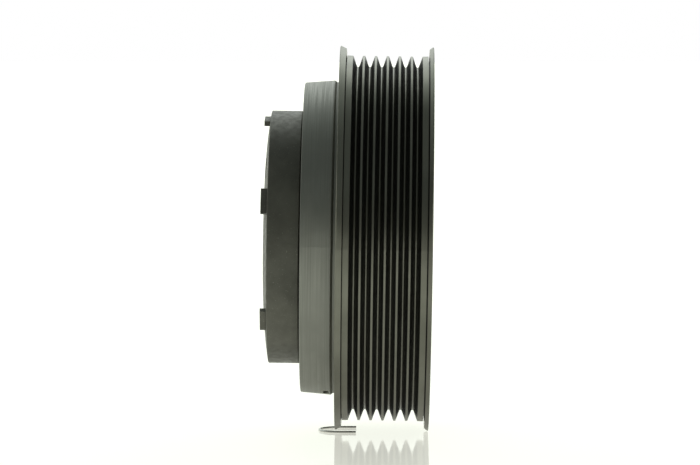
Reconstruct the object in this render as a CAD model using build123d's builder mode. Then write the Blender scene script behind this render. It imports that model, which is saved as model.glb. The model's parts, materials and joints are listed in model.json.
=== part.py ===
"""Electromagnetic clutch with a six-rib belt pulley.

The shaft axis is Y, with the hub end toward -Y and +Z up. The origin is on the axis, in the middle plane
of the belt grooves. Every size is in millimetres; a "y" is a station along the axis, an "r" a radius.
"""

import os
from math import cos, radians, sin, sqrt, tan

from build123d import *

os.makedirs("parts", exist_ok=True)

# Belt grooves
RIBS = 6
GROOVE_PITCH = 3.56
GROOVE_HALF_ANGLE = 20
R_CREST = 54.65
R_VALLEY = 51.33
CREST_FLAT = 0.60
GROOVE_HALF_WIDTH = (GROOVE_PITCH - CREST_FLAT) / 2
VALLEY_HALF_WIDTH = GROOVE_HALF_WIDTH - (R_CREST - R_VALLEY) * tan(radians(GROOVE_HALF_ANGLE))

# Pulley rim and its two guide flanges
R_FLANGE = 57.65
FLANGE_DROP = 0.85
R_RELIEF = 53.0
R_SHOULDER = 54.7
Y_RIM_FRONT = -14.2
Y_FRONT_FLANGE_BACK = -12.4
Y_SHOULDER_END = 12.1
Y_REAR_FLANGE_FRONT = 12.5
Y_RIM_BACK = 13.7
R_SEAT = 46.6
Y_SEAT_BACK = 11.0

# Rotor
Y_ROTOR_FACE = -24.6
R_NOSE_FRONT = 46.4
R_NOSE_BACK = 47.15
Y_NOSE_BACK = -15.0
NOSE_ROUND = 0.4
Y_DISC_BACK = -18.2
R_CAVITY = 44.0
R_TUBE = 31.2
R_BEARING_SEAT = 27.5
R_ROTOR_OPENING = 24.5
Y_TUBE_BACK = 8.0
FLUX_SLOTS = 6
R_FLUX_SLOT = (32.0, 33.4)
FLUX_SLOT_HALF_ANGLE = 24
R_FRICTION = (34.0, 35.9)
FRICTION_DEPTH = 1.5
Y_BALANCE = -16.9
BALANCE_ANGLE = -75.5
BALANCE_WIDTH = 1.5
BALANCE_LENGTH = 4.6
BALANCE_DEPTH = 1.2
BALANCE_BEVEL = 0.8

# Double-row ball bearing, 35 x 55 x 20
R_BEARING_BORE = 17.5
Y_BEARING = -4.0
BEARING_HALF = 10.0
ROW_OFFSET = 4.2
R_PITCH = 22.5
R_BALL = 2.75
RACE_CLEARANCE = 0.07
BALLS_PER_ROW = 16
R_INNER_LAND = 20.2
R_INNER_SHOULDER = 21.2
R_OUTER_SHOULDER = 23.8
R_SEAL_SEAT = 24.8
Y_LAND = 8.2
SEAL_START = 8.4
SEAL_THICKNESS = 1.2
R_SEAL_LIP = 20.5
R_CAGE = (21.5, 23.5)
CAGE_HALF = 3.4
R_POCKET = 2.87

# Bearing circlip
R_CIRCLIP = (25.2, 28.75)
R_CIRCLIP_GROOVE = 28.9
Y_CIRCLIP = 6.0
CIRCLIP_THICKNESS = 1.5
CIRCLIP_GROOVE_WIDTH = 1.6
CIRCLIP_OPENING = (6.4, 9)
R_CIRCLIP_EAR = 2.1
R_CIRCLIP_EAR_HOLE = 1.0
CIRCLIP_EAR_CENTRE = R_CIRCLIP[0] + 1.1
CIRCLIP_EAR_SPREAD = 24

# Coil
R_CUP_INNER = (31.6, 33.6)
R_CUP_OUTER = (41.6, 43.6)
Y_CUP_FRONT = -17.4
Y_CUP_FLOOR = 6.6
Y_CUP_BACK = 9.0
R_BOBBIN = (33.7, 34.7)
R_BOBBIN_FLANGE = 41.4
R_WINDING = 40.6
Y_WINDING = (-14.2, 5.4)
BOBBIN_WALL = 1.0
Y_RESIN_FRONT = -17.0
Y_PLATE_BACK = 11.8
R_PLATE = (22.0, 43.0)
COIL_SCREWS = 3
R_COIL_SCREW = 26.5
COIL_SCREW_ANGLE = 30
R_SCREW_HOLE = 2.75
R_SCREW_SINK = 4.6
R_LOCATING_PIN = 2.0
LOCATING_PIN_RADIUS = 37.0
LOCATING_PIN_ANGLE = 90
Y_LOCATING_PIN_TIP = 13.4
OUTLET_RADIUS = 37.4
OUTLET_ANGLE = -90
OUTLET_SIZE = (10.0, 6.4)
OUTLET_FLANGE = 1.2
Y_OUTLET = (7.2, 13.2)
R_LEAD_HOLE = 1.1

# Armature plate and its leaf springs
AIR_GAP = 0.45
ARMATURE_THICKNESS = 4.5
R_ARMATURE = (15.0, 36.0)
R_RIVETS = 29.5
HUB_RIVET_ANGLE = 46.5
SPRING_SPAN = 60
STOP_PAD_ANGLE = 90
SPRING_THICKNESS = 0.5
SPRING_WIDTH = 6.4
R_RIVET_SHANK = 1.7
R_RIVET_HEAD = 2.6
RIVET_HEAD = 0.85
R_RIVET_SINK = 2.9
R_HEAD_CLEARANCE = 3.4
R_STOP_PAD = 2.6
Y_ARMATURE_BACK = Y_ROTOR_FACE - AIR_GAP
Y_ARMATURE_FRONT = Y_ARMATURE_BACK - ARMATURE_THICKNESS
Y_SPRING_BACK = Y_ARMATURE_FRONT - 0.1
Y_SPRING_FRONT = Y_SPRING_BACK - SPRING_THICKNESS

# Drive drum around the rubber damper
R_DRUM = 37.85
DRUM_WALL = 1.5
Y_DRUM_BACK = Y_ARMATURE_BACK
Y_DRUM_EDGE = -34.4
Y_DOME = -36.0
R_DOME_FLAT = 21.0
R_DOME_MIDDLE = 30.0
Y_DOME_MIDDLE = -35.42
R_DRUM_OPENING = 13.0
DRUM_FACE = 1.15
DRUM_EDGE_ROUND = 0.35
Y_DRIVE_PLATE = (-31.4, -30.2)
R_DRIVE_PLATE = 20.0
R_SLEEVE = (34.75, 36.25)
TABS = 6
TAB_ANGLE = 20.3
PLAIN_TAB_PLACE = 4
R_FACE_WINDOW = 3.3
TAB_HALF_ANGLE = 6.0
TAB_SLOT_MARGIN = 0.35
Y_SLEEVE_FRONT = -33.0
Y_TAB_TIP = -36.4

# Hub, with its splined bore, and the rubber bonded to it
R_HUB_BOSS = 9.5
R_HUB_FLANGE = 21.5
Y_HUB_FRONT = -34.9
Y_HUB_BACK = -17.5
Y_HUB_FLANGE = (-33.9, -31.7)
R_SPLINE = (5.1, 5.9)
SPLINE_TEETH = 18
SPLINE_SLOT = 0.9
R_PILOT = 6.0
PILOT_LENGTH = 6.0
Y_RUBBER = (-33.1, -31.75)
R_RUBBER = 34.65
R_RUBBER_WINDOW = 4.2
RUBBER_WINDOWS = 6
R_SHIM = (6.2, 9.0)
SHIM_THICKNESS = 0.3

# Loose wire clip under the front flange
WIRE = 0.7
CLIP_HALF_SPREAD = 6.5
Y_CLIP = (-18.9, -7.9)
CLIP_GAP = 0.1
FLOOR_TILT = 0.85


def across(y):
    """Plane square to the shaft at station y; a sketch on it has X to the right and Z up."""
    return Plane.XZ.offset(-y)


def save(piece, name):
    """Label a finished piece and write its STEP file."""
    piece.part.label = name
    export_step(piece.part, f"parts/{name}.step")


def at_radius(corners, radius):
    """Corners of an outline that lie at a radius from the axis."""
    return corners.filter_by(lambda corner: abs(corner.X - radius) < 0.01)


def turned(points):
    """Turned solid from a closed outline of (r, y) points."""
    with BuildPart() as piece:
        with BuildSketch(Plane.XY):
            with BuildLine():
                Polyline(*points, close=True)
            make_face()
        revolve(axis=Axis.Y)
    return piece


def tube(radii, stations):
    """Plain ring between two radii and two stations."""
    (inner, outer), (front, back) = radii, stations
    return turned([(inner, front), (outer, front), (outer, back), (inner, back)])


def arc_slot(radii, half_angle):
    """Slot that follows a circle, centred on the sketch's local X axis."""
    inner, outer = radii
    rise = 2 * outer * tan(radians(half_angle))
    wedge = Polygon((0, 0), (2 * outer, -rise), (2 * outer, rise), align=None, mode=Mode.PRIVATE)
    ring = Circle(outer, mode=Mode.PRIVATE) - Circle(inner, mode=Mode.PRIVATE)
    add(ring & wedge)


def turned_plane(y, angle):
    """Plane square to the shaft at station y, its local X axis turned up from +X by an angle."""
    direction = (cos(radians(angle)), 0, sin(radians(angle)))
    return Plane(origin=(0, y, 0), x_dir=direction, z_dir=(0, -1, 0))


# ---------------------------------------------------------------- pulley rim

def groove_outline():
    """Outline points of the ribs, from the front shoulder to the rear one."""
    points = []
    for groove in range(RIBS):
        centre = (groove - (RIBS - 1) / 2) * GROOVE_PITCH
        points.append((R_CREST, centre - GROOVE_HALF_WIDTH))
        points.append((R_VALLEY, centre - VALLEY_HALF_WIDTH))
        points.append((R_VALLEY, centre + VALLEY_HALF_WIDTH))
        points.append((R_CREST, centre + GROOVE_HALF_WIDTH))
    return points


with BuildPart() as pulley_rim:
    with BuildSketch(Plane.XY):
        with BuildLine():
            Polyline(
                (R_SEAT, Y_RIM_FRONT),
                (R_FLANGE, Y_RIM_FRONT),
                (R_FLANGE - FLANGE_DROP, Y_FRONT_FLANGE_BACK),
                (R_RELIEF, Y_FRONT_FLANGE_BACK + 0.1),
                (R_RELIEF, -Y_SHOULDER_END),
                (R_SHOULDER, -Y_SHOULDER_END),
                *groove_outline(),
                (R_SHOULDER, Y_SHOULDER_END),
                (R_RELIEF, Y_SHOULDER_END),
                (R_RELIEF, Y_REAR_FLANGE_FRONT - 0.1),
                (R_FLANGE - FLANGE_DROP, Y_REAR_FLANGE_FRONT),
                (R_FLANGE, Y_RIM_BACK),
                (R_SEAT + 2.4, Y_RIM_BACK),
                (R_SEAT, Y_SEAT_BACK),
                close=True,
            )
        make_face()
        fillet(at_radius(vertices(), R_VALLEY), radius=0.22)
        fillet(at_radius(vertices(), R_CREST), radius=0.15)
        fillet(at_radius(vertices(), R_FLANGE), radius=0.2)
    revolve(axis=Axis.Y)
save(pulley_rim, "pulley_rim")

# ---------------------------------------------------------------- rotor

with BuildPart() as rotor:
    with BuildSketch(Plane.XY):
        with BuildLine():
            Polyline(
                (R_ROTOR_OPENING, Y_ROTOR_FACE),
                (R_FRICTION[0], Y_ROTOR_FACE),
                (R_FRICTION[0], Y_ROTOR_FACE + FRICTION_DEPTH),
                (R_FRICTION[1], Y_ROTOR_FACE + FRICTION_DEPTH),
                (R_FRICTION[1], Y_ROTOR_FACE),
                (R_NOSE_FRONT, Y_ROTOR_FACE),
                (R_NOSE_BACK, Y_NOSE_BACK - 0.6),
                (R_SEAT, Y_NOSE_BACK),
                (R_SEAT, Y_SEAT_BACK),
                (R_CAVITY, Y_SEAT_BACK),
                (R_CAVITY, Y_DISC_BACK),
                (R_TUBE, Y_DISC_BACK),
                (R_TUBE, Y_TUBE_BACK),
                (R_BEARING_SEAT, Y_TUBE_BACK),
                (R_BEARING_SEAT, Y_CIRCLIP + CIRCLIP_GROOVE_WIDTH),
                (R_CIRCLIP_GROOVE, Y_CIRCLIP + CIRCLIP_GROOVE_WIDTH),
                (R_CIRCLIP_GROOVE, Y_CIRCLIP),
                (R_BEARING_SEAT, Y_CIRCLIP),
                (R_BEARING_SEAT, Y_BEARING - BEARING_HALF),
                (R_ROTOR_OPENING, Y_BEARING - BEARING_HALF),
                close=True,
            )
        make_face()
        fillet(at_radius(vertices(), R_NOSE_BACK), radius=NOSE_ROUND)
        fillet(at_radius(vertices(), R_NOSE_FRONT), radius=0.3)
        fillet([v for v in vertices() if abs(v.Y - Y_DISC_BACK) < 0.01], radius=0.8)
    revolve(axis=Axis.Y)
    for slot in range(FLUX_SLOTS):
        with BuildSketch(turned_plane(Y_DISC_BACK + 1, slot * 360 / FLUX_SLOTS)):
            arc_slot(R_FLUX_SLOT, FLUX_SLOT_HALF_ANGLE)
        extrude(amount=Y_DISC_BACK + 2 - Y_ROTOR_FACE, mode=Mode.SUBTRACT)
    outward = Vector(cos(radians(BALANCE_ANGLE)), 0, sin(radians(BALANCE_ANGLE)))
    around = Vector(0, 1, 0).cross(outward)
    surface = outward * R_NOSE_BACK + Vector(0, Y_BALANCE, 0)
    with BuildSketch(Plane(origin=surface, x_dir=around, z_dir=outward)):
        SlotOverall(BALANCE_LENGTH, BALANCE_WIDTH)
    extrude(amount=-BALANCE_DEPTH, mode=Mode.SUBTRACT)
    with BuildSketch(Plane(origin=surface, x_dir=around, z_dir=outward)):
        SlotOverall(BALANCE_LENGTH + BALANCE_BEVEL, BALANCE_WIDTH + BALANCE_BEVEL)
    extrude(amount=-BALANCE_BEVEL / 2, taper=45, mode=Mode.SUBTRACT)
save(rotor, "rotor")

friction_radii = (R_FRICTION[0] + 0.02, R_FRICTION[1] - 0.02)
friction_ring = tube(friction_radii, (Y_ROTOR_FACE + 0.05, Y_ROTOR_FACE + FRICTION_DEPTH))
save(friction_ring, "friction_ring")

# ---------------------------------------------------------------- bearing


def race_outline(r_bore, r_shoulder, r_land):
    """Closed outline of one race, land to land, without its ball tracks."""
    front = Y_BEARING - BEARING_HALF
    back = Y_BEARING + BEARING_HALF
    return [
        (r_bore, front),
        (r_land, front),
        (r_land, Y_BEARING - Y_LAND),
        (r_shoulder, Y_BEARING - Y_LAND),
        (r_shoulder, Y_BEARING + Y_LAND),
        (r_land, Y_BEARING + Y_LAND),
        (r_land, back),
        (r_bore, back),
    ]


def race(r_bore, r_shoulder, r_land):
    """Bearing race: turned blank with two round tracks cut in it and eased corners at the bore."""
    with BuildPart() as piece:
        with BuildSketch(Plane.XY):
            with BuildLine():
                Polyline(*race_outline(r_bore, r_shoulder, r_land), close=True)
            make_face()
            for row in (-ROW_OFFSET, ROW_OFFSET):
                with Locations((R_PITCH, Y_BEARING + row)):
                    Circle(R_BALL + RACE_CLEARANCE, mode=Mode.SUBTRACT)
            chamfer(at_radius(vertices(), r_bore), length=0.5)
        revolve(axis=Axis.Y)
    return piece


def balls(y_row):
    """Ring of separate balls on the pitch circle."""
    with BuildPart() as piece:
        with Locations(across(y_row)):
            with PolarLocations(R_PITCH, BALLS_PER_ROW):
                Sphere(R_BALL)
    return piece


def cage(y_row):
    """Ball cage: a thin ring with a round pocket for every ball."""
    with BuildPart() as piece:
        with BuildSketch(across(y_row + CAGE_HALF)):
            Circle(R_CAGE[1])
            Circle(R_CAGE[0], mode=Mode.SUBTRACT)
        extrude(amount=2 * CAGE_HALF)
        for ball in range(BALLS_PER_ROW):
            angle = radians(ball * 360 / BALLS_PER_ROW)
            with BuildSketch(Plane(origin=(0, y_row, 0), z_dir=(cos(angle), 0, sin(angle)))):
                Circle(R_POCKET)
            extrude(amount=R_CAGE[1] + 1, mode=Mode.SUBTRACT)
    return piece


save(race(R_BEARING_BORE, R_INNER_SHOULDER, R_INNER_LAND), "bearing_inner_race")
save(race(R_BEARING_SEAT, R_OUTER_SHOULDER, R_SEAL_SEAT), "bearing_outer_race")
for side, sign in (("front", -1), ("rear", 1)):
    save(balls(Y_BEARING + sign * ROW_OFFSET), f"{side}_ball_row")
    save(cage(Y_BEARING + sign * ROW_OFFSET), f"{side}_ball_cage")
    seal_ends = sorted((Y_BEARING + sign * SEAL_START, Y_BEARING + sign * (SEAL_START + SEAL_THICKNESS)))
    save(tube((R_SEAL_LIP, R_SEAL_SEAT), seal_ends), f"{side}_bearing_seal")

with BuildPart() as bearing_circlip:
    with BuildSketch(across(Y_CIRCLIP + CIRCLIP_THICKNESS)):
        Circle(R_CIRCLIP[1])
        Circle(R_CIRCLIP[0] + 1.0, mode=Mode.SUBTRACT)
        first_ear = -90 - CIRCLIP_EAR_SPREAD / 2
        with PolarLocations(CIRCLIP_EAR_CENTRE, 2, first_ear, CIRCLIP_EAR_SPREAD, endpoint=True):
            Circle(R_CIRCLIP_EAR)
            Circle(R_CIRCLIP_EAR_HOLE, mode=Mode.SUBTRACT)
        with Locations((0, -R_CIRCLIP[1])):
            Rectangle(*CIRCLIP_OPENING, mode=Mode.SUBTRACT)
        Circle(R_CIRCLIP[0] - 1.0, mode=Mode.SUBTRACT)
    extrude(amount=CIRCLIP_THICKNESS)
save(bearing_circlip, "bearing_circlip")

# ---------------------------------------------------------------- coil

with BuildPart() as coil_housing:
    with BuildSketch(Plane.XY):
        with BuildLine():
            Polyline(
                (R_CUP_INNER[0], Y_CUP_FRONT),
                (R_CUP_INNER[1], Y_CUP_FRONT),
                (R_CUP_INNER[1], Y_CUP_FLOOR),
                (R_CUP_OUTER[0], Y_CUP_FLOOR),
                (R_CUP_OUTER[0], Y_CUP_FRONT),
                (R_CUP_OUTER[1], Y_CUP_FRONT),
                (R_CUP_OUTER[1], Y_CUP_BACK),
                (R_CUP_INNER[0], Y_CUP_BACK),
                close=True,
            )
        make_face()
        chamfer(at_radius(vertices(), R_CUP_OUTER[1]), length=0.6)
    revolve(axis=Axis.Y)
    with BuildSketch(turned_plane(Y_CUP_BACK, OUTLET_ANGLE)):
        with Locations((OUTLET_RADIUS, 0)):
            RectangleRounded(OUTLET_SIZE[1], OUTLET_SIZE[0], 1.2)
    extrude(amount=Y_CUP_BACK - Y_CUP_FLOOR, mode=Mode.SUBTRACT)
save(coil_housing, "coil_housing")

coil_bobbin = turned([
    (R_BOBBIN[0], Y_WINDING[0] - BOBBIN_WALL),
    (R_BOBBIN_FLANGE, Y_WINDING[0] - BOBBIN_WALL),
    (R_BOBBIN_FLANGE, Y_WINDING[0]),
    (R_BOBBIN[1], Y_WINDING[0]),
    (R_BOBBIN[1], Y_WINDING[1]),
    (R_BOBBIN_FLANGE, Y_WINDING[1]),
    (R_BOBBIN_FLANGE, Y_WINDING[1] + BOBBIN_WALL),
    (R_BOBBIN[0], Y_WINDING[1] + BOBBIN_WALL),
])
save(coil_bobbin, "coil_bobbin")
save(tube((R_BOBBIN[1], R_WINDING), Y_WINDING), "coil_winding")
save(tube((R_BOBBIN[0], R_BOBBIN_FLANGE), (Y_RESIN_FRONT, Y_WINDING[0] - BOBBIN_WALL)), "coil_resin")

with BuildPart() as coil_mounting_plate:
    with BuildSketch(across(Y_PLATE_BACK)):
        Circle(R_PLATE[1])
        Circle(R_PLATE[0], mode=Mode.SUBTRACT)
        with PolarLocations(LOCATING_PIN_RADIUS, 1, start_angle=LOCATING_PIN_ANGLE):
            Circle(R_LOCATING_PIN, mode=Mode.SUBTRACT)
    extrude(amount=Y_PLATE_BACK - Y_CUP_BACK)
    with BuildSketch(turned_plane(Y_PLATE_BACK, OUTLET_ANGLE)):
        with Locations((OUTLET_RADIUS, 0)):
            RectangleRounded(OUTLET_SIZE[1], OUTLET_SIZE[0], 1.2)
    extrude(amount=Y_PLATE_BACK - Y_CUP_BACK, mode=Mode.SUBTRACT)
    with Locations(across(Y_CUP_BACK)):
        with PolarLocations(R_COIL_SCREW, COIL_SCREWS, start_angle=COIL_SCREW_ANGLE):
            CounterSinkHole(R_SCREW_HOLE, R_SCREW_SINK)
save(coil_mounting_plate, "coil_mounting_plate")

with BuildPart() as locating_pin:
    with BuildSketch(turned_plane(Y_LOCATING_PIN_TIP, LOCATING_PIN_ANGLE)):
        with Locations((LOCATING_PIN_RADIUS, 0)):
            Circle(R_LOCATING_PIN)
    extrude(amount=Y_LOCATING_PIN_TIP - Y_CUP_BACK)
    chamfer(locating_pin.faces().sort_by(Axis.Y)[-1].edges(), length=0.5)
save(locating_pin, "locating_pin")

with BuildPart() as lead_outlet:
    with BuildSketch(turned_plane(Y_PLATE_BACK + OUTLET_FLANGE, OUTLET_ANGLE)):
        with Locations((OUTLET_RADIUS, 0)):
            RectangleRounded(OUTLET_SIZE[1] + 2, OUTLET_SIZE[0] + 2, 2)
    extrude(amount=OUTLET_FLANGE)
    with BuildSketch(turned_plane(Y_PLATE_BACK, OUTLET_ANGLE)):
        with Locations((OUTLET_RADIUS, 0)):
            RectangleRounded(OUTLET_SIZE[1] - 0.1, OUTLET_SIZE[0] - 0.1, 1.2)
    extrude(amount=Y_PLATE_BACK - Y_OUTLET[0])
    fillet(lead_outlet.faces().sort_by(Axis.Y)[-1].edges(), radius=0.5)
    with BuildSketch(turned_plane(Y_OUTLET[1], OUTLET_ANGLE)):
        with GridLocations(0, OUTLET_SIZE[0] / 2, 1, 2):
            with Locations((OUTLET_RADIUS, 0)):
                Circle(R_LEAD_HOLE)
    extrude(amount=Y_OUTLET[1] - Y_OUTLET[0] + 1, mode=Mode.SUBTRACT)
save(lead_outlet, "lead_outlet")

# ---------------------------------------------------------------- armature plate and springs


def rivet_angles(offset=0):
    """The three angles of one set of rivets or pads, counted from the first hub rivet."""
    return [HUB_RIVET_ANGLE + offset + turn for turn in (0, 120, 240)]


with BuildPart() as armature_plate:
    with BuildSketch(across(Y_ARMATURE_BACK)):
        Circle(R_ARMATURE[1])
        Circle(R_ARMATURE[0], mode=Mode.SUBTRACT)
        with PolarLocations(R_RIVETS, 3, start_angle=HUB_RIVET_ANGLE):
            Circle(R_HEAD_CLEARANCE, mode=Mode.SUBTRACT)
    extrude(amount=ARMATURE_THICKNESS)
    with Locations(Plane.XZ.offset(-Y_ARMATURE_BACK).rotated((180, 0, 0))):
        with PolarLocations(R_RIVETS, 3, start_angle=-HUB_RIVET_ANGLE - SPRING_SPAN):
            CounterSinkHole(R_RIVET_SHANK, R_RIVET_SINK)
    chamfer(armature_plate.edges().filter_by(GeomType.CIRCLE).sort_by(SortBy.RADIUS)[-2:], length=0.3)
save(armature_plate, "armature_plate")

for number, angle in enumerate(rivet_angles(), start=1):
    chord = 2 * R_RIVETS * sin(radians(SPRING_SPAN / 2))
    middle = R_RIVETS * cos(radians(SPRING_SPAN / 2))
    with BuildPart() as leaf_spring:
        with BuildSketch(turned_plane(Y_SPRING_BACK, angle + SPRING_SPAN / 2)):
            with Locations((middle, 0)):
                SlotCenterToCenter(chord, SPRING_WIDTH, rotation=90)
            with Locations((middle, -chord / 2), (middle, chord / 2)):
                Circle(R_RIVET_SHANK, mode=Mode.SUBTRACT)
        extrude(amount=SPRING_THICKNESS)
    save(leaf_spring, f"leaf_spring_{number}")


def rivet_set(y_head, y_tail, offset, sunk):
    """Three rivets: a round head in front, and a tail that is a second head or a sunk cone."""
    with BuildPart() as piece:
        for angle in rivet_angles(offset):
            with BuildSketch(turned_plane(y_tail, angle)):
                with Locations((R_RIVETS, 0)):
                    Circle(R_RIVET_SHANK)
            extrude(amount=y_tail - y_head)
            with BuildSketch(turned_plane(y_head, angle)):
                with Locations((R_RIVETS, 0)):
                    Circle(R_RIVET_HEAD)
            extrude(amount=RIVET_HEAD, taper=20)
            with BuildSketch(turned_plane(y_tail, angle)):
                with Locations((R_RIVETS, 0)):
                    Circle(R_RIVET_SINK - 0.25 if sunk else R_RIVET_HEAD)
            if sunk:
                extrude(amount=R_RIVET_SINK - R_RIVET_SHANK - 0.25, taper=45)
            else:
                extrude(amount=-RIVET_HEAD, taper=20)
    return piece


save(rivet_set(Y_SPRING_FRONT, Y_ARMATURE_BACK - 0.25, SPRING_SPAN, True), "armature_rivets")
save(rivet_set(Y_DRIVE_PLATE[0], Y_SPRING_BACK, 0, False), "hub_rivets")

with BuildPart() as stop_pads:
    with BuildSketch(across(Y_SPRING_BACK)):
        with PolarLocations(R_RIVETS, 3, start_angle=HUB_RIVET_ANGLE + STOP_PAD_ANGLE):
            Circle(R_STOP_PAD)
    extrude(amount=Y_SPRING_BACK - Y_DRIVE_PLATE[1])
save(stop_pads, "stop_pads")

# ---------------------------------------------------------------- drive drum, damper and hub


def tab_angles():
    """Angles of the sleeve's tabs: evenly spaced places, one of which stays plain."""
    return [TAB_ANGLE + place * 360 / TABS for place in range(TABS) if place != PLAIN_TAB_PLACE]


with BuildPart() as drive_drum:
    with BuildSketch(Plane.XY):
        with BuildLine():
            inside = R_DRUM - DRUM_WALL
            Line((inside, Y_DRUM_BACK), (R_DRUM, Y_DRUM_BACK))
            Line((R_DRUM, Y_DRUM_BACK), (R_DRUM, Y_DRUM_EDGE))
            ThreePointArc((R_DRUM, Y_DRUM_EDGE), (R_DOME_MIDDLE, Y_DOME_MIDDLE), (R_DOME_FLAT, Y_DOME))
            Line((R_DOME_FLAT, Y_DOME), (R_DRUM_OPENING, Y_DOME))
            Line((R_DRUM_OPENING, Y_DOME), (R_DRUM_OPENING, Y_DOME + DRUM_FACE))
            Line((R_DRUM_OPENING, Y_DOME + DRUM_FACE), (R_DOME_FLAT, Y_DOME + DRUM_FACE))
            Line((R_DOME_FLAT, Y_DOME + DRUM_FACE), (inside, Y_DRUM_EDGE + DRUM_FACE))
            Line((inside, Y_DRUM_EDGE + DRUM_FACE), (inside, Y_DRUM_BACK))
        make_face()
        fillet(at_radius(vertices(), R_DRUM), radius=DRUM_EDGE_ROUND)
        chamfer(at_radius(vertices(), R_DRUM_OPENING).sort_by(Axis.Y)[0], length=0.3)
    revolve(axis=Axis.Y)
    for angle in tab_angles():
        with BuildSketch(turned_plane(Y_DRUM_EDGE + 2, angle)):
            arc_slot((R_SLEEVE[0] - 0.1, R_SLEEVE[1] + 0.1), TAB_HALF_ANGLE + TAB_SLOT_MARGIN)
        extrude(amount=5, mode=Mode.SUBTRACT)
    with BuildSketch(across(Y_DRUM_EDGE + 2)):
        with PolarLocations(R_RIVETS, 3, start_angle=HUB_RIVET_ANGLE):
            Circle(R_FACE_WINDOW)
    extrude(amount=5, mode=Mode.SUBTRACT)
save(drive_drum, "drive_drum")

with BuildPart() as drive_plate:
    with BuildSketch(across(Y_DRIVE_PLATE[1])):
        Circle(R_DRUM - DRUM_WALL)
        Circle(R_DRIVE_PLATE, mode=Mode.SUBTRACT)
        with PolarLocations(R_RIVETS, 3, start_angle=HUB_RIVET_ANGLE):
            Circle(R_RIVET_SHANK, mode=Mode.SUBTRACT)
        with PolarLocations(R_RIVETS, 3, start_angle=HUB_RIVET_ANGLE + SPRING_SPAN):
            Circle(R_HEAD_CLEARANCE, mode=Mode.SUBTRACT)
    extrude(amount=Y_DRIVE_PLATE[1] - Y_DRIVE_PLATE[0])
save(drive_plate, "drive_plate")

with BuildPart() as damper_sleeve:
    with BuildSketch(across(Y_DRIVE_PLATE[0])):
        Circle(R_SLEEVE[1])
        Circle(R_SLEEVE[0], mode=Mode.SUBTRACT)
    extrude(amount=Y_DRIVE_PLATE[0] - Y_TAB_TIP)
    gaps = [(TAB_ANGLE + (gap + 0.5) * 360 / TABS, 180 / TABS - TAB_HALF_ANGLE) for gap in range(TABS)]
    gaps.append((TAB_ANGLE + PLAIN_TAB_PLACE * 360 / TABS, TAB_HALF_ANGLE + 1))
    for angle, half_angle in gaps:
        with BuildSketch(turned_plane(Y_SLEEVE_FRONT, angle)):
            arc_slot((R_SLEEVE[0] - 2, R_SLEEVE[1] + 2), half_angle)
        extrude(amount=Y_SLEEVE_FRONT - Y_TAB_TIP + 1, mode=Mode.SUBTRACT)
save(damper_sleeve, "damper_sleeve")

with BuildPart() as hub:
    with BuildSketch(Plane.XY):
        with BuildLine():
            Polyline(
                (R_SPLINE[0], Y_HUB_FRONT),
                (R_HUB_BOSS, Y_HUB_FRONT),
                (R_HUB_BOSS, Y_HUB_FLANGE[0]),
                (R_HUB_FLANGE, Y_HUB_FLANGE[0] + 0.4),
                (R_HUB_FLANGE, Y_HUB_FLANGE[1]),
                (R_HUB_BOSS + 1.5, Y_HUB_FLANGE[1]),
                (R_HUB_BOSS, Y_HUB_FLANGE[1] + 1.5),
                (R_HUB_BOSS, Y_HUB_BACK),
                (R_PILOT, Y_HUB_BACK),
                (R_PILOT, Y_HUB_BACK - PILOT_LENGTH),
                (R_SPLINE[0], Y_HUB_BACK - PILOT_LENGTH),
                close=True,
            )
        make_face()
    revolve(axis=Axis.Y)
    with BuildSketch(across(Y_HUB_BACK - PILOT_LENGTH)):
        with PolarLocations((R_SPLINE[0] + R_SPLINE[1]) / 2 - 0.3, SPLINE_TEETH):
            Rectangle(R_SPLINE[1] - R_SPLINE[0] + 0.6, SPLINE_SLOT)
    extrude(amount=Y_HUB_BACK - PILOT_LENGTH - Y_HUB_FRONT, mode=Mode.SUBTRACT)
save(hub, "hub")

with BuildPart() as damper_rubber:
    with BuildSketch(across(Y_RUBBER[1])):
        Circle(R_RUBBER)
        Circle(R_HUB_FLANGE, mode=Mode.SUBTRACT)
        with PolarLocations(R_RIVETS, RUBBER_WINDOWS, start_angle=HUB_RIVET_ANGLE):
            Circle(R_RUBBER_WINDOW, mode=Mode.SUBTRACT)
    extrude(amount=Y_RUBBER[1] - Y_RUBBER[0])
    fillet(damper_rubber.edges().filter_by(GeomType.CIRCLE).group_by(SortBy.RADIUS)[-1], radius=0.3)
save(damper_rubber, "damper_rubber")

save(tube(R_SHIM, (Y_HUB_BACK, Y_HUB_BACK + SHIM_THICKNESS)), "air_gap_shim")

# ---------------------------------------------------------------- loose wire clip

clip_depth = sqrt((R_FLANGE + CLIP_GAP + WIRE / 2) ** 2 - CLIP_HALF_SPREAD**2)
with BuildPart() as wire_clip:
    with BuildLine() as clip_path:
        bend = Y_CLIP[0] + CLIP_HALF_SPREAD
        Line((-CLIP_HALF_SPREAD, Y_CLIP[1], 0), (-CLIP_HALF_SPREAD, bend, 0))
        ThreePointArc((-CLIP_HALF_SPREAD, bend, 0), (0, Y_CLIP[0], 0), (CLIP_HALF_SPREAD, bend, 0))
        Line((CLIP_HALF_SPREAD, bend, 0), (CLIP_HALF_SPREAD, Y_CLIP[1], 0))
    with BuildSketch(Plane(origin=clip_path.line @ 0, z_dir=clip_path.line % 0)):
        Circle(WIRE / 2)
    sweep()
wire_clip.part = wire_clip.part.rotate(Axis.X, FLOOR_TILT).translate((0, 0, -clip_depth))
save(wire_clip, "wire_clip")
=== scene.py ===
"""Looks for the electromagnetic clutch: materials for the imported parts, a pale studio and the camera."""

import json
import math

import bpy
from mathutils import Matrix, Vector

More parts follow.
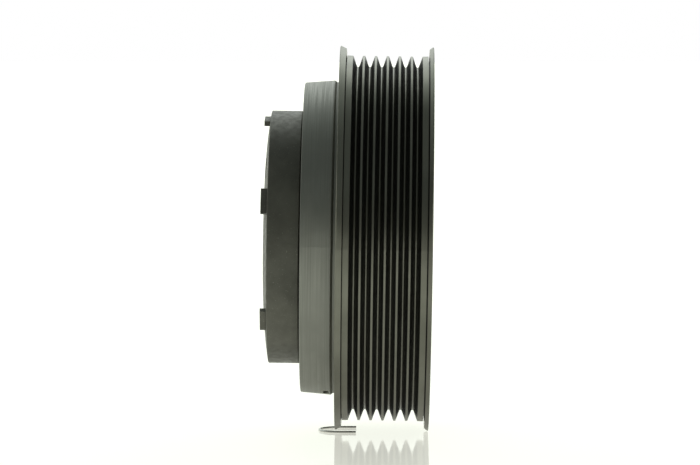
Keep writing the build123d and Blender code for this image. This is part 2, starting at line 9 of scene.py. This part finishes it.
MM = 0.001
LEAN = math.radians(0.85)          # the clutch leans back on its wire clip by this much
FLOOR_POINT = Vector((0, 13.4, -57.65)) * MM
UP = Vector((0, -math.sin(LEAN), math.cos(LEAN)))
AIM = Vector((0, -10.6, 1.6)) * MM
CAMERA_DISTANCE = 1.08
CAMERA_AZIMUTH = math.radians(90.65)
CAMERA_ELEVATION = math.radians(3.5)
LENS = 185
FLOOR_SIZE = 16.0
FLOOR_GAP = 0.2 * MM
FLOOR_ROUGHNESS = 0.06
FLOOR_IOR = 1.22
FLOOR_GLOW = 0.48                  # the floor shines a little, as a lit white sheet does
FLOOR_GLOW_TINT = (1.0, 1.0, 0.90)

WALL_RANGE = (-0.95, 0.10)         # X of the direction where the bright wall starts and has faded out
WALL_LIGHT = (1.0, 0.17)           # its strength at those two places
TINT_HEIGHTS = (-0.3, 0.5)         # Z of the direction where the tint is all warm and all cool
WARM_BELOW = (1.0, 0.99, 0.86)
COOL_ABOVE = (0.90, 1.0, 0.95)

SOFTBOX_PLACE = (-0.9, 0.0, 0.75)
SOFTBOX_POWER = 1.8
SOFTBOX_SIZE = 0.9

R_RIB_TIP = 54.55 * MM             # outside this radius the rim is rubbed bright
R_RIB_ROOT = 51.45 * MM            # inside this radius the groove floors are bare as well
WEAR_FADE = 0.12 * MM
WEAR_WANDER = 0.25 * MM


class Shader:
    """One node material with short helpers, so that each material below reads as a recipe."""

    def __init__(self, name):
        self.material = bpy.data.materials.new(name)
        self.material.use_nodes = True
        self.tree = self.material.node_tree
        self.surface = self.tree.nodes["Principled BSDF"]
        coordinates = self.add("ShaderNodeTexCoord")
        self.place = coordinates.outputs["Object"]

    def add(self, kind, **settings):
        node = self.tree.nodes.new(kind)
        for key, value in settings.items():
            setattr(node, key, value)
        return node

    def link(self, source, target):
        self.tree.links.new(source, target)

    def math(self, operation, first, second=0.0):
        node = self.add("ShaderNodeMath", operation=operation)
        for socket, value in zip(node.inputs, (first, second)):
            if isinstance(value, (int, float)):
                socket.default_value = value
            else:
                self.link(value, socket)
        return node.outputs[0]

    def axis_parts(self):
        """Radius from the shaft axis, station along it and angle round it."""
        split = self.add("ShaderNodeSeparateXYZ")
        self.link(self.place, split.inputs[0])
        x, y, z = split.outputs
        squares = self.math("ADD", self.math("MULTIPLY", x, x), self.math("MULTIPLY", z, z))
        return self.math("SQRT", squares), y, self.math("ARCTAN2", z, x)

    def turned_noise(self, scale, stretch, detail=3.0):
        """Noise drawn out round the axis, as a lathe leaves it."""
        radius, station, angle = self.axis_parts()
        joined = self.add("ShaderNodeCombineXYZ")
        self.link(radius, joined.inputs[0])
        self.link(station, joined.inputs[1])
        self.link(self.math("MULTIPLY", angle, stretch), joined.inputs[2])
        noise = self.add("ShaderNodeTexNoise")
        noise.inputs["Scale"].default_value = scale
        noise.inputs["Detail"].default_value = detail
        self.link(joined.outputs[0], noise.inputs["Vector"])
        return noise.outputs["Fac"]

    def noise(self, scale, detail=4.0):
        node = self.add("ShaderNodeTexNoise")
        node.inputs["Scale"].default_value = scale
        node.inputs["Detail"].default_value = detail
        self.link(self.place, node.inputs["Vector"])
        return node.outputs["Fac"]

    def range(self, value, low, high, to_low, to_high):
        node = self.add("ShaderNodeMapRange", interpolation_type="SMOOTHSTEP")
        self.link(value, node.inputs["Value"])
        for name, number in zip(("From Min", "From Max", "To Min", "To Max"), (low, high, to_low, to_high)):
            node.inputs[name].default_value = number
        return node.outputs[0]

    def mix(self, factor, first, second):
        node = self.add("ShaderNodeMix", data_type="RGBA")
        self.link(factor, node.inputs["Factor"])
        for socket, value in ((node.inputs[6], first), (node.inputs[7], second)):
            if isinstance(value, tuple):
                socket.default_value = (*value, 1.0)
            else:
                self.link(value, socket)
        return node.outputs[2]

    def colour(self, source):
        self.link(source, self.surface.inputs["Base Color"])

    def roughness(self, source):
        self.link(source, self.surface.inputs["Roughness"])

    def metal(self, amount=1.0):
        self.surface.inputs["Metallic"].default_value = amount

    def bump(self, height, distance, strength=1.0):
        node = self.add("ShaderNodeBump")
        node.inputs["Distance"].default_value = distance
        node.inputs["Strength"].default_value = strength
        self.link(height, node.inputs["Height"])
        self.link(node.outputs["Normal"], self.surface.inputs["Normal"])


def turned_metal(name, light, dark, rough, ring_scale=2600.0, metal=1.0):
    """Lathe-turned metal: fine rings, slow stains and a slightly uneven gloss."""
    shader = Shader(name)
    rings = shader.turned_noise(ring_scale, 0.0006)
    stain = shader.range(shader.noise(70.0), 0.35, 0.68, 0.0, 1.0)
    grain = shader.range(rings, 0.3, 0.7, 0.0, 1.0)
    base = shader.mix(stain, light, dark)
    fine = shader.mix(grain, base, tuple(channel * 0.9 for channel in light))
    shader.colour(fine)
    shader.roughness(shader.range(rings, 0.25, 0.75, rough - 0.06, rough + 0.09))
    shader.metal(metal)
    shader.bump(rings, 0.00002, 0.5)
    return shader.material


def coated_steel(name, light, dark, rough):
    """Matte electrocoat on pressed steel: cloudy, with a fine orange-peel grain and pale dust."""
    shader = Shader(name)
    cloud = shader.range(shader.noise(90.0), 0.3, 0.7, 0.0, 1.0)
    dust = shader.range(shader.noise(2400.0, 2.0), 0.66, 0.74, 0.0, 0.5)
    base = shader.mix(cloud, light, dark)
    shader.colour(shader.mix(dust, base, tuple(channel * 2.2 for channel in light)))
    shader.roughness(shader.range(shader.noise(500.0), 0.3, 0.7, rough - 0.07, rough + 0.07))
    shader.metal(0.55)
    shader.bump(shader.noise(3200.0, 2.0), 0.00003, 0.6)
    return shader.material


def rim_finish():
    """Pulley rim: black coating on the groove flanks, bare steel on their floors, tips and flanges."""
    shader = Shader("rim_finish")
    radius = shader.axis_parts()[0]
    rings = shader.turned_noise(3000.0, 0.0006)
    wander = shader.math("MULTIPLY", shader.math("SUBTRACT", shader.noise(260.0), 0.5), WEAR_WANDER)
    edge = shader.math("ADD", radius, wander)
    bright = shader.range(edge, R_RIB_TIP - WEAR_FADE, R_RIB_TIP + WEAR_FADE / 2, 0.0, 1.0)
    root = shader.range(radius, R_RIB_ROOT, R_RIB_ROOT + WEAR_FADE, 1.0, 0.0)
    bare = shader.math("MAXIMUM", bright, root)
    stain = shader.range(shader.noise(60.0), 0.35, 0.7, 0.0, 1.0)
    steel = shader.mix(stain, (0.225, 0.225, 0.19), (0.17, 0.17, 0.142))
    coat = shader.mix(shader.range(rings, 0.3, 0.7, 0.0, 1.0), (0.006, 0.006, 0.0055), (0.014, 0.014, 0.0125))
    shader.colour(shader.mix(bare, coat, steel))
    shader.roughness(shader.range(bare, 0.0, 1.0, 0.40, 0.34))
    shader.link(shader.range(bare, 0.0, 1.0, 0.1, 1.0), shader.surface.inputs["Metallic"])
    shader.bump(rings, 0.00002, 0.5)
    return shader.material


def rubber(name, tone):
    """Moulded rubber: dull, with a fine grain and a little bloom."""
    shader = Shader(name)
    bloom = shader.range(shader.noise(180.0), 0.4, 0.8, 0.0, 0.6)
    shader.colour(shader.mix(bloom, (tone, tone, tone), (tone * 2.0, tone * 2.0, tone * 1.9)))
    shader.roughness(shader.range(shader.noise(900.0), 0.3, 0.7, 0.62, 0.8))
    shader.bump(shader.noise(2600.0, 2.0), 0.00003, 0.5)
    return shader.material


def moulding(name, light, dark, rough):
    """Moulded plastic, resin or lining: faint mottling and a soft, uneven gloss."""
    shader = Shader(name)
    shader.colour(shader.mix(shader.range(shader.noise(220.0), 0.35, 0.65, 0.0, 1.0), light, dark))
    shader.roughness(shader.range(shader.noise(700.0), 0.3, 0.7, rough - 0.05, rough + 0.08))
    shader.bump(shader.noise(1800.0, 2.0), 0.00002, 0.4)
    return shader.material


def wound_wire():
    """Layered enamelled copper wire: even turns side by side round the axis, with painted shade between the
    turns and a painted highlight on their crowns.
    """
    shader = Shader("wound_wire")
    station = shader.axis_parts()[1]
    turns = shader.math("SINE", shader.math("MULTIPLY", station, 2 * math.pi / (0.6 * MM)))
    # Painted shade and highlight: the colour runs from dark copper in the gap between turns to light copper
    # on each turn's crown.
    painted_turn_shade = shader.range(turns, -1.0, 1.0, 0.0, 1.0)
    shader.colour(shader.mix(painted_turn_shade, (0.22, 0.07, 0.03), (0.62, 0.27, 0.12)))
    shader.roughness(shader.range(shader.noise(300.0), 0.3, 0.7, 0.26, 0.4))
    shader.metal(0.9)
    shader.bump(turns, 0.0001, 0.8)
    return shader.material


def finishes():
    """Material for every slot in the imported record."""
    return {
        "turned_steel": turned_metal("satin_rotor", (0.315, 0.32, 0.29), (0.26, 0.265, 0.24), 0.5),
        "rim_coating": rim_finish(),
        "hub_coating": coated_steel("hub_electrocoat", (0.145, 0.144, 0.122), (0.102, 0.102, 0.086), 0.5),
        "hub_steel": turned_metal("sintered_hub", (0.30, 0.30, 0.29), (0.20, 0.20, 0.19), 0.42),
        "armature_steel": turned_metal("ground_armature", (0.42, 0.41, 0.38), (0.30, 0.29, 0.27), 0.36),
        "coil_steel": turned_metal("zinc_pressing", (0.50, 0.50, 0.47), (0.38, 0.38, 0.36), 0.42),
        "bearing_steel": turned_metal("ground_race", (0.62, 0.62, 0.62), (0.52, 0.52, 0.52), 0.2),
        "ball_steel": turned_metal("polished_balls", (0.75, 0.75, 0.75), (0.68, 0.68, 0.68), 0.12),
        "bright_steel": turned_metal("bright_plating", (0.66, 0.66, 0.64), (0.52, 0.52, 0.50), 0.24),
        "spring_steel": turned_metal("blued_spring", (0.26, 0.27, 0.30), (0.16, 0.17, 0.20), 0.32),
        "copper_wire": wound_wire(),
        "nylon": moulding("natural_nylon", (0.62, 0.56, 0.42), (0.54, 0.48, 0.35), 0.45),
        "potting_resin": moulding("casting_resin", (0.03, 0.03, 0.028), (0.015, 0.015, 0.015), 0.3),
        "friction_lining": moulding("pressed_lining", (0.14, 0.11, 0.085), (0.08, 0.065, 0.05), 0.75),
        "black_plastic": moulding("black_moulding", (0.03, 0.03, 0.03), (0.018, 0.018, 0.018), 0.45),
        "damper_rubber": rubber("damper_rubber", 0.02),
        "seal_rubber": rubber("seal_rubber", 0.03),
    }


def dress(frame):
    """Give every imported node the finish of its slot."""
    finish = finishes()
    for part in frame["record"]["subparts"]:
        mesh = frame["nodes"][part["node"]].data
        mesh.materials.clear()
        mesh.materials.append(finish[part["material_slot"]])


def studio_floor():
    """Glossy white floor, square to the direction in which the clutch really stands."""
    bpy.ops.mesh.primitive_plane_add(size=FLOOR_SIZE)
    floor = bpy.context.object
    floor.name = "studio_floor"
    turn = Vector((0, 0, 1)).rotation_difference(UP).to_matrix().to_4x4()
    floor.matrix_world = Matrix.Translation(FLOOR_POINT - UP * FLOOR_GAP) @ turn
    shader = Shader("pale_floor")
    shader.colour(shader.mix(shader.noise(3.0), (0.91, 0.91, 0.85), (0.94, 0.94, 0.88)))
    shader.surface.inputs["Roughness"].default_value = FLOOR_ROUGHNESS
    shader.surface.inputs["IOR"].default_value = FLOOR_IOR
    shader.surface.inputs["Emission Color"].default_value = (*FLOOR_GLOW_TINT, 1.0)
    shader.surface.inputs["Emission Strength"].default_value = FLOOR_GLOW
    floor.data.materials.append(shader.material)


def studio_world():
    """Bright wall behind the clutch that fades out beside it; the camera itself sees plain white."""
    world = bpy.data.worlds.new("white_room")
    world.use_nodes = True
    bpy.context.scene.world = world
    tree = world.node_tree
    tree.nodes.clear()
    output = tree.nodes.new("ShaderNodeOutputWorld")
    shown = tree.nodes.new("ShaderNodeBackground")
    shown.inputs["Color"].default_value = (1.0, 1.0, 1.0, 1.0)
    shown.inputs["Strength"].default_value = 1.0
    lit = tree.nodes.new("ShaderNodeBackground")
    lit.inputs["Strength"].default_value = 1.0
    place = tree.nodes.new("ShaderNodeTexCoord")
    split = tree.nodes.new("ShaderNodeSeparateXYZ")
    fall = tree.nodes.new("ShaderNodeMapRange")
    fall.interpolation_type = "SMOOTHSTEP"
    for name, number in zip(("From Min", "From Max", "To Min", "To Max"), (*WALL_RANGE, *WALL_LIGHT)):
        fall.inputs[name].default_value = number
    path = tree.nodes.new("ShaderNodeLightPath")
    choose = tree.nodes.new("ShaderNodeMixShader")
    tree.links.new(place.outputs["Generated"], split.inputs[0])
    tree.links.new(split.outputs["X"], fall.inputs["Value"])
    tint = tree.nodes.new("ShaderNodeMix")
    tint.data_type = "RGBA"
    tint.inputs[6].default_value = (*WARM_BELOW, 1.0)
    tint.inputs[7].default_value = (*COOL_ABOVE, 1.0)
    height = tree.nodes.new("ShaderNodeMapRange")
    height.inputs["From Min"].default_value = TINT_HEIGHTS[0]
    height.inputs["From Max"].default_value = TINT_HEIGHTS[1]
    tree.links.new(split.outputs["Z"], height.inputs["Value"])
    tree.links.new(height.outputs[0], tint.inputs["Factor"])
    shade = tree.nodes.new("ShaderNodeVectorMath")
    shade.operation = "SCALE"
    tree.links.new(tint.outputs[2], shade.inputs[0])
    tree.links.new(fall.outputs[0], shade.inputs["Scale"])
    tree.links.new(shade.outputs[0], lit.inputs["Color"])
    tree.links.new(path.outputs["Is Camera Ray"], choose.inputs[0])
    tree.links.new(lit.outputs[0], choose.inputs[1])
    tree.links.new(shown.outputs[0], choose.inputs[2])
    tree.links.new(choose.outputs[0], output.inputs[0])


def soft_light(name, place, power, size):
    """Square soft box at a place, facing the clutch."""
    light = bpy.data.lights.new(name, "AREA")
    light.energy = power
    light.size = size
    lamp = bpy.data.objects.new(name, light)
    lamp.location = place
    lamp.rotation_euler = (-Vector(place)).to_track_quat("-Z", "Y").to_euler()
    bpy.context.collection.objects.link(lamp)


def studio_camera():
    """Long lens at the side of the clutch, level with the tilted floor."""
    side = Vector((1, 0, 0))
    back = UP.cross(side)
    level = side * math.sin(CAMERA_AZIMUTH) - back * math.cos(CAMERA_AZIMUTH)
    away = level * math.cos(CAMERA_ELEVATION) + UP * math.sin(CAMERA_ELEVATION)
    right = UP.cross(away).normalized()
    camera = bpy.data.cameras.new("camera")
    camera.lens = LENS
    camera.sensor_width = 36
    holder = bpy.data.objects.new("camera", camera)
    turn = Matrix((right, away.cross(right), away)).transposed().to_4x4()
    holder.matrix_world = Matrix.Translation(AIM + away * CAMERA_DISTANCE) @ turn
    bpy.context.collection.objects.link(holder)
    bpy.context.scene.camera = holder


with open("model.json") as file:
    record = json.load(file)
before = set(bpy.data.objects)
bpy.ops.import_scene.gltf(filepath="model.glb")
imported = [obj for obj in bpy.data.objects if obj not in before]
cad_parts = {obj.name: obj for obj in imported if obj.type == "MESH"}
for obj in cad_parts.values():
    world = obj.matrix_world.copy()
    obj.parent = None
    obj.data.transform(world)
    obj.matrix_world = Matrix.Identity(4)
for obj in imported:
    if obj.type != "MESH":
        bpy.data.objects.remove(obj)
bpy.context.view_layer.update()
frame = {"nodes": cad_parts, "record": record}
dress(frame)
studio_floor()
studio_world()
soft_light("back_softbox", SOFTBOX_PLACE, SOFTBOX_POWER, SOFTBOX_SIZE)
studio_camera()
bpy.context.scene.view_settings.view_transform = "Standard"
